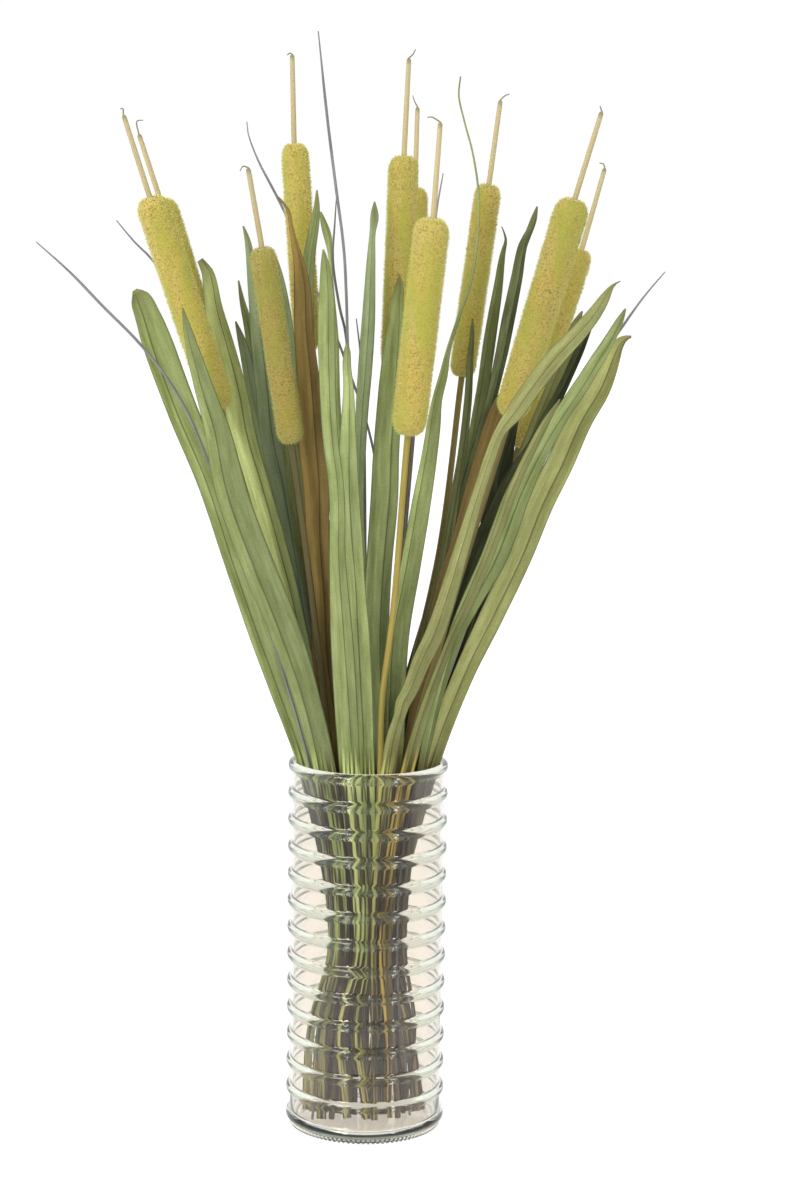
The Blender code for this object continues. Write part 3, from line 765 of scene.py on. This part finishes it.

# %% The leaves' lines
# Each leaf: colour, width in the vase's mouth, turn in degrees, place front to back, x at the mouth, how light it is
# beside the others of its colour, the colour of its foot in the vase, then (x, z, width) from its tip down. The foot
# colours are partly the leaves' own browns and partly painted shade: near black for leaves behind, light in front.
LEAVES = {
    "Leaf_01": ("green", 13, 18, -0.20, -41, 1.25, "8fa262", [(-158, 577, 3), (-155, 573, 12), (-149, 559, 17),
        (-143, 542, 20), (-126, 496, 20), (-107, 451, 20), (-91, 403, 20), (-73, 348, 19), (-59, 307, 17)]),
    "Leaf_02": ("green", 16, -12, -0.90, -29, 0.92, "9cae6a", [(-120, 569, 1), (-117, 555, 6), (-113, 539, 10),
        (-108, 520, 13), (-99, 490, 18), (-91, 451, 23), (-81, 420, 24), (-71, 393, 24), (-54, 348, 22),
        (-41, 306, 18)]),
    "Leaf_03": ("olive", 14, 15, -0.40, -31, 2.0, "5c6c3e", [(-113, 598, 4), (-108, 590, 8), (-104, 566, 12),
        (-97, 539, 15), (-90, 510, 17), (-85, 480, 19), (-75, 446, 18), (-65, 412, 17), (-54, 371, 15)]),
    "Leaf_04": ("blue", 14, -15, -0.24, -26, 0.85, "66764a", [(-86, 620, 1), (-83, 610, 4), (-79, 578, 8),
        (-75, 545, 12), (-71, 512, 14), (-67, 478, 15), (-60, 445, 17), (-54, 411, 16), (-46, 363, 15)]),
    "Leaf_05": ("green", 14, 20, 0.62, -27, 0.7, "3a3322", [(-95, 581, 1), (-92, 566, 4), (-87, 547, 7),
        (-82, 513, 8)]),
    "Leaf_06": ("blue", 13, -20, 0.20, -22, 1.0, "2f2a1c", [(-94, 555, 1), (-91, 546, 5), (-87, 532, 8),
        (-83, 512, 9), (-78, 488, 10), (-72, 461, 10)]),
    "Leaf_07": ("olive", 12, 10, -0.30, -15, 0.7, "2c2b1a", [(-64, 552, 1), (-61, 526, 4), (-58, 499, 8),
        (-54, 473, 11), (-50, 446, 12), (-45, 412, 12)]),
    "Leaf_08": ("blue", 9, 0, -0.20, -17, 0.9, "6c7a4c", [(-67, 605, 1), (-63, 593, 3), (-59, 574, 5), (-55, 549, 5),
        (-52, 522, 4), (-50, 479, 4)]),
    "Leaf_09": ("brown", 16, 8, -0.44, -18, 1.1, "4a381f", [(-63, 640, 1.2), (-58, 635, 1.6), (-55, 630, 2.2),
        (-53, 618, 3), (-51, 609, 4.5), (-48, 596, 7.5), (-46, 580, 11), (-45, 553, 12.5), (-42, 521, 15),
        (-39, 481, 19), (-36, 447, 17.5), (-35, 413, 15.5), (-32, 372, 16), (-29, 323, 17)]),
    "Leaf_10": ("green", 12, 15, -0.16, -9, 0.9, "242016", [(-38, 644, 1), (-38, 634, 4), (-39, 623, 6),
        (-42, 605, 8), (-44, 582, 9), (-43, 552, 8), (-42, 505, 7)]),
    "Leaf_11": ("green", 8, 0, -0.30, -6, 1.0, "5a6340", [(-35, 630, 1), (-33, 623, 4), (-30, 613, 5),
        (-29, 604, 2.4), (-27, 579, 2.4), (-24, 546, 3), (-23, 506, 4)]),
    "Leaf_12": ("green", 14, 10, -0.84, -12, 1.1, "a6b474", [(-31, 607, 1), (-30, 599, 5), (-29, 581, 9),
        (-29, 565, 11), (-28, 517, 10.5), (-26, 484, 10), (-22, 451, 10), (-21, 400, 11), (-18, 348, 15)]),
    "Leaf_13": ("green", 15, -8, -0.74, -3, 1.45, "8a9c58", [(-16, 547, 1), (-16, 541, 4.5), (-16, 531, 5.5),
        (-15, 520, 6.5), (-15, 483, 11), (-15, 450, 15), (-13, 416, 16.5), (-10, 385, 14), (-8, 347, 17)]),
    "Leaf_14": ("blue", 12, -10, -0.20, 4, 1.15, "4a4a2c", [(0, 637, 0.8), (0, 632, 4), (0, 626, 5.8), (-1, 618, 4),
        (-2, 596, 6), (-3, 563, 8.5), (-5, 529, 9.5), (-7, 496, 8.5), (-8, 462, 7.5), (-8, 425, 7)]),
    "Leaf_15": ("green", 16, 10, -0.36, 6, 1.05, "8e9050", [(17, 590, 0.8), (17, 582, 6), (16, 574, 8),
        (15, 554, 12), (13, 524, 16), (10, 474, 18), (9, 440, 19), (6, 396, 18), (4, 344, 18)]),
    "Leaf_16": ("green", 14, -12, -0.26, 17, 1.25, "55532c", [(55, 718, 0.8), (54, 706, 1), (58, 689, 1.1),
        (64, 668, 1.2), (68, 643, 1.4), (68, 618, 1.6), (64, 586, 1.8), (57, 564, 2.2), (50, 540, 3.4), (47, 524, 6),
        (43, 507, 7), (41, 490, 9.5), (39, 473, 10.5), (34, 440, 13), (27, 395, 14), (19, 343, 15)]),
    "Leaf_17": ("olive", 12, 15, -0.16, 21, 0.6, "4a3c24", [(66, 561, 0.8), (66, 552, 3), (65, 533, 4.5),
        (64, 507, 5.5), (61, 474, 6), (56, 439, 7), (50, 398, 7)]),
    "Leaf_18": ("green", 14, -20, 0.30, 18, 0.8, "241e14", [(86, 621, 0.6), (89, 613, 1.6), (87, 602, 4),
        (84, 578, 7), (79, 544, 9), (75, 514, 9), (69, 476, 9), (62, 442, 9), (56, 414, 8)]),
    "Leaf_19": ("dark", 13, 15, 0.12, 26, 2.2, "1a160f", [(109, 635, 1), (107, 627, 4.5), (104, 618, 5),
        (100, 609, 6.5), (96, 586, 8.5), (91, 559, 9.5), (86, 532, 9), (81, 508, 8), (74, 478, 10), (66, 440, 14),
        (57, 400, 15), (46, 350, 14)]),
    "Leaf_20": ("brown", 12, 0, -0.34, 28, 0.75, "4a361e", [(90, 514, 4), (88, 511, 8), (85, 505, 10), (79, 488, 11),
        (74, 468, 12), (67, 441, 12), (60, 413, 11), (50, 379, 12)]),
    "Leaf_21": ("pale", 10, -14, -0.96, 13, 0.85, "b0b468", [(156, 590, 0.6), (152, 588, 1.5), (147, 580, 6),
        (141, 570, 8.5), (131, 557, 10.5), (117, 541, 12), (103, 522, 12), (92, 505, 11), (83, 492, 7),
        (77, 475, 7.5), (69, 447, 8), (60, 413, 10), (44, 356, 12.5), (35, 335, 12), (28, 315, 10.5), (23, 305, 10),
        (21, 296, 8), (17, 280, 9.5)]),
    "Leaf_22": ("pale", 13, 20, -0.02, 34, 0.8, "2b2317", [(140, 566, 1), (136, 557, 7), (132, 543, 9.5),
        (126, 527, 10.5), (118, 506, 11), (109, 483, 11), (99, 455, 12), (86, 418, 12)]),
    "Leaf_23": ("dark", 11, 0, -0.14, 36, 1.0, "17130e", [(149, 567, 1), (144, 556, 3.5), (137, 539, 6),
        (129, 520, 6.5), (119, 498, 8), (109, 475, 11), (97, 452, 17), (83, 419, 20), (70, 385, 17)]),
    "Leaf_24": ("green", 6, 12, -0.42, 36, 1.1, "453c22", [(165, 570, 1), (162, 563, 5), (155, 549, 8),
        (147, 535, 10), (136, 516, 11.5), (124, 497, 12), (112, 476, 14), (98.5, 447, 18), (83, 403, 19),
        (58, 348, 11)]),
    "Leaf_25": ("pale", 14, -15, -0.24, 40, 1.36, "7c7444", [(171, 551, 1.5), (167, 550, 4), (162, 545, 8),
        (157, 534, 13), (150, 516, 16), (138, 495, 17.5), (126, 466, 18), (112.5, 437, 18.5), (100, 402, 17),
        (81, 358, 16), (63, 317, 14)]),
    "Leaf_26": ("pale", 9, 0, -0.72, 26, 0.85, "c8b04e", [(122, 512, 1), (113, 496, 5), (103, 475, 6),
        (93, 451, 6.5), (84, 423, 6.5), (70, 384, 6.5), (51, 338, 6)]),
    "Leaf_27": ("dark", 14, -15, 0.28, 38, 1.0, "1a150f", [(101, 504, 3), (95, 482, 7), (88, 456, 16), (85, 432, 20),
        (83, 403, 19), (74, 367, 19), (60, 330, 16)]),
}

# Leaves that stand free of the ones before them down to the mouth, so that they get only the lighter front share of
# the painted shade there.
LIT_LEAVES = ("Leaf_01", "Leaf_16", "Leaf_25")

# %% The leaves
LEAF_THICKNESS, LEAF_REACH_IN_VASE, VASE_TOP = 0.5, 50.1, 258.5
COLUMNS, FOLD, PLEAT, WAVE, WAVE_SIZE = 15, 0.34, 0.4, 1.8, 34.0
FOOT_STRAY, FOOT_LIFT = 7.5, 1.2
# How wide a leaf is at its foot, between, at the waist and at the mouth, as a share of its width in the mouth.
WIDTH_SHARES = (0.4, 0.44, 0.5, 1.0)
# What is left of a leaf's colour low down under the painted shade, for the leaves in front and for those in the shade
# of others.
FRONT_LIGHT, SHADED_LIGHT, FRONT_LAYER = 0.8, 0.42, -0.35
tones = random.Random(7)


# A leaf's foot also wanders a little from side to side on its way down, so that the feet cross as real ones do, and
# stands a little higher or lower than the next one.
def astray(places):
    foot, waist, mouth = (np.array(p) for p in places)
    foot[2] += FOOT_LIFT * (1.0 + math.sin(3.0 * mouth[0]))
    middle = 0.5 * (foot + waist)
    for spot in (foot, middle, waist):
        spot[0] += tones.uniform(-FOOT_STRAY, FOOT_STRAY)
    return [foot, middle, waist, mouth]


# A leaf that would cut the vase's bore bends in along it instead, as a real one is held by the glass.
def keep_in_bore(piece):
    for vert in piece.data.vertices:
        away = math.hypot(vert.co.x, vert.co.y)
        if vert.co.z < VASE_TOP * MM and away > LEAF_REACH_IN_VASE * MM:
            vert.co.x *= LEAF_REACH_IN_VASE * MM / away
            vert.co.y *= LEAF_REACH_IN_VASE * MM / away


for name, (colour, mouth_width, turn, layer, mouth_x, tone, foot, line) in LEAVES.items():
    below = zip(astray(in_vase(mouth_x, layer)), WIDTH_SHARES)
    rows = [(*p, 0.5 * mouth_width * share) for p, share in below]
    rows += [(*place(x, z, layer), 0.5 * width) for x, z, width in reversed(line)]
    points = through(rows, 4.0)
    sides = []
    for here in points:
        angle = math.radians(turn) * min(1.0, max(0.0, here[2] - MOUTH_Z) / 150.0)
        sides.append(Vector((math.cos(angle), math.sin(angle), 0.0)))
    runs = np.gradient(points[:, :3], axis=0)
    sides = [(s - Vector(r).normalized() * s.dot(Vector(r).normalized())) for s, r in zip(sides, runs)]
    start = line_mesh(name + "_Line", points[:, :3], half=np.maximum(points[:, 3], 0.3) * MM, side=sides)
    # How much of its colour the leaf keeps under the painted shade low down.
    light = FRONT_LIGHT if layer < FRONT_LAYER or name in LIT_LEAVES else SHADED_LIGHT
    leaf = grow(name + "_Blade", start, blade, {
        "Rows": len(points) * 4 // 3, "Columns": COLUMNS, "Fold": FOLD, "Wave": WAVE * MM, "Wave Size": WAVE_SIZE * MM,
        "Pleat": PLEAT, "Crease": tones.uniform(-0.6, 0.2), "Tint": tones.random(), "Tone": tone, "Depth": light,
        "Foot Colour And Shade": linear(foot)[:3], "Material": blade_finishes[colour]}, wall=LEAF_THICKNESS)
    keep_in_bore(leaf)
    dress(leaf, name)

# %% [markdown]
# ## Strands
# The thin strands are grasses dried to wires, grey-purple and slightly glossy, each with a fine point.

# %% The strands
wiry, tree, shader = new_material("Dried_Grass")
fibres = noise(tree, along_fibres(tree, 0.8, 18.0), 1.0, 3.0)
plug(shader, {"Base Color": ramp(tree, fibres, (0.3, "55535c"), (0.7, "8b8a86")), "Roughness": 0.5,
              "Specular IOR Level": 0.4})

STRAND_RADIUS = 0.95
# Each strand: place front to back, x at the mouth, then (x, z) from its tip down.
STRANDS = {
    "Strand_01": (-0.72, -38, [(-214, 609), (-193, 590), (-174, 570), (-148, 543), (-125, 511), (-103, 459)]),
    "Strand_02": (0.12, -29, [(-174, 622), (-162, 608), (-149, 595), (-124, 556)]),
    "Strand_03": (-0.54, -1, [(-36, 743), (-30, 689), (-24, 644), (-19, 607), (-17, 574), (-16, 545)]),
    "Strand_04": (0.52, 8, [(-90, 690), (-89, 682), (-82, 664), (-69, 640), (-60, 622), (-45, 586), (-20, 528),
                            (3, 453)]),
    "Strand_05": (0.40, -8, [(-27, 639), (-28, 620), (-29, 597), (-24, 565), (-19, 543)]),
    "Strand_06": (-0.32, 34, [(191, 594), (178, 578), (165, 559), (134, 512), (115, 481)]),
    "Strand_07": (-0.10, 12, [(45, 656), (41, 631), (34, 559), (25, 438)]),
    "Strand_08": (0.20, -2, [(-12, 558), (-9, 535), (-6, 490)]),
}
for name, (layer, mouth_x, line) in STRANDS.items():
    rows = [(*p, STRAND_RADIUS) for p in in_vase(mouth_x, layer)]
    rows += [(*place(x, z, layer), STRAND_RADIUS) for x, z in reversed(line)]
    points = through(rows, 6.0)
    taper = np.minimum(1.0, 0.4 + np.arange(len(points))[::-1] / 12)
    wire = grow(name + "_Wire", line_mesh(name + "_Line", points[:, :3], thick=points[:, 3] * taper * MM), sweep,
                {"Sides": 8, "Tint": 0.0, "Material": wiry})
    face_outwards(wire)
    dress(wire, name)
print("strands:", len(STRANDS))

# %% [markdown]
# ## Floor and light
# The photograph has a plain white ground and soft studio light from the front. A white room gives the soft fill. It
# is dimmer high up and in front, with one bright level strip, which the hoops mirror. The floor glows a little, and
# less in front. A large soft lamp high on the left gives the leaves their shape, and three narrow soft lamps put the
# small bright marks on the hoops.

# %% The floor
floor_mesh = bmesh.new()
bmesh.ops.create_circle(floor_mesh, cap_ends=True, segments=96, radius=9.0)
floor = bpy.data.objects.new("Floor", bpy.data.meshes.new("Floor"))
floor_mesh.to_mesh(floor.data)
floor_mesh.free()
scene.collection.objects.link(floor)
paper, tree, shader = new_material("White_Paper")
ahead_y = xyz(tree, add(tree, "ShaderNodeTexCoord").outputs["Object"])["Y"]
glow = ranged(tree, ahead_y, -0.5, -0.2, 0.27, 0.8)
near = ranged(tree, ahead_y, -0.5, -0.2)
paper_tone = blend(tree, near, "707070", "a8a8a8")
plug(shader, {"Base Color": paper_tone, "Roughness": 0.9, "Emission Color": (1, 1, 1, 1), "Emission Strength": glow})
floor.data.materials.append(paper)
floor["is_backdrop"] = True

# %% The room and the lamps
world = bpy.data.worlds.new("Studio")
world.use_nodes = True
studio = world.node_tree
sky = xyz(studio, add(studio, "ShaderNodeTexCoord").outputs["Generated"])
room = ranged(studio, sky["Z"], 0.3, 0.9, 1.02, 0.45)
front = ranged(studio, sky["Y"], 0.0, -0.6)
high = ranged(studio, sky["Z"], 0.06, 0.3, 0.0, 0.6)
dim = maths(studio, "MULTIPLY", front, high)
left = maths(studio, "SUBTRACT", 1.0, dim)
level = maths(studio, "MULTIPLY", room, left)
band = maths(studio, "COMPARE", sky["Z"], 0.5, 0.04)
half = maths(studio, "LESS_THAN", sky["Y"], 0.2)
strip = maths(studio, "MULTIPLY", band, half)
level = maths(studio, "MULTIPLY_ADD", strip, 5.0, level)
plug(studio.nodes["Background"], {"Color": linear("ffffff"), "Strength": level})
scene.world = world
scene.view_settings.view_transform = "Standard"


def soft_lamp(name, azimuth, height, distance, width, tall, watts, code):
    lamp = bpy.data.lights.new(name, "AREA")
    lamp.shape, lamp.size, lamp.size_y, lamp.energy = "RECTANGLE", width, tall, watts
    lamp.color = linear(code)[:3]
    made = bpy.data.objects.new(name, lamp)
    angle = math.radians(azimuth)
    spot = Vector((math.sin(angle) * distance, -math.cos(angle) * distance, height))
    aim = Vector((0.0, 0.0, 0.35)) - spot
    made.matrix_world = Matrix.Translation(spot) @ aim.to_track_quat("-Z", "Y").to_matrix().to_4x4()
    scene.collection.objects.link(made)


soft_lamp("Key", -38, 1.9, 2.4, 1.2, 1.2, 46.0, "fffaf0")
soft_lamp("Left_Window", -64, 0.5, 1.8, 0.06, 0.25, 2.6, "5f7dff")
soft_lamp("Left_Strip", -27, 0.6, 2.3, 0.16, 0.8, 9.0, "ffffff")
soft_lamp("Right_Strip", 43, 0.6, 2.1, 0.2, 0.8, 9.0, "ffffff")

# %% Print the visual box and finish
low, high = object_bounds()
print("visual box in mm:", [round(v / MM) for v in (*low, *high)])
